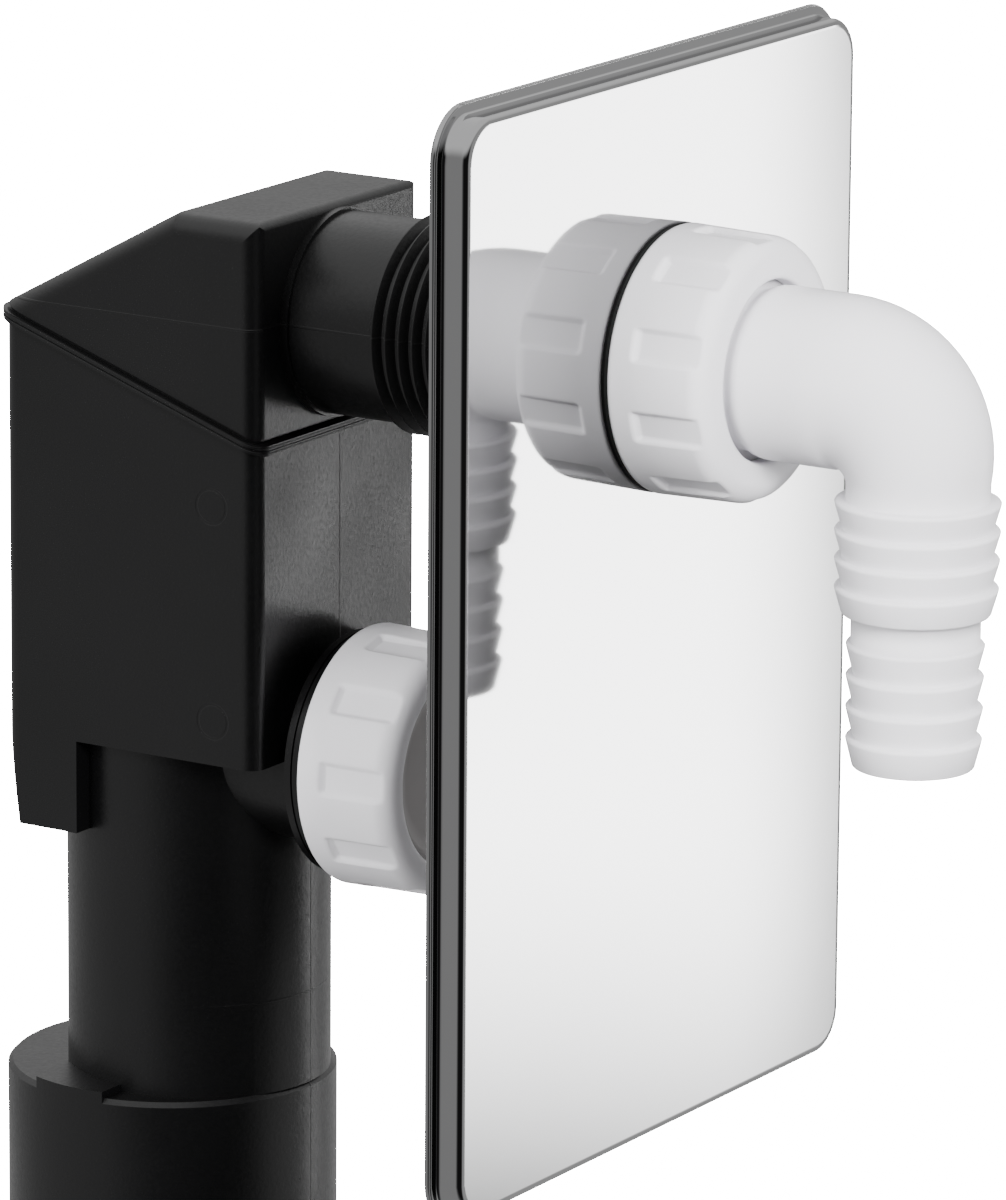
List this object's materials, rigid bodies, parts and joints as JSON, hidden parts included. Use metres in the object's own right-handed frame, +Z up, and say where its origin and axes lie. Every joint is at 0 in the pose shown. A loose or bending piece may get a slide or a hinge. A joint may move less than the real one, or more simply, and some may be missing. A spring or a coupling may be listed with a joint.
{
  "type": "concealed washing machine trap",
  "caption": "Black in-wall waste trap with a threaded inlet through a mirror-polished cover plate, a white hose elbow held by a union nut, and a capped cleaning port",
  "frame": {"origin": "centre of the outlet spigot's lower end", "axes": "+Z up, -Y out of the wall into the room, X across the wall; the trap is symmetric about X = 0 and the loose cover plate sits 2.6 mm off it, as pictured"},
  "size_m": [0.1105, 0.1653, 0.2092],
  "materials": {
    "black_plastic": "satin moulded polyethylene",
    "white_plastic": "smooth moulded polypropylene",
    "polished_steel": "mirror-polished stainless sheet",
    "black_rubber": "matt rubber"
  },
  "bodies": {
    "root": {"trap_body": "black_plastic", "trap_hood": "black_plastic", "cover_plate": "polished_steel", "plate_washer": "black_rubber", "union_nut": "white_plastic", "hose_elbow": "white_plastic", "elbow_seal": "black_rubber", "cap_nut": "white_plastic", "blank_disc": "white_plastic", "blank_seal": "black_rubber"}
  },
  "joints": []
}
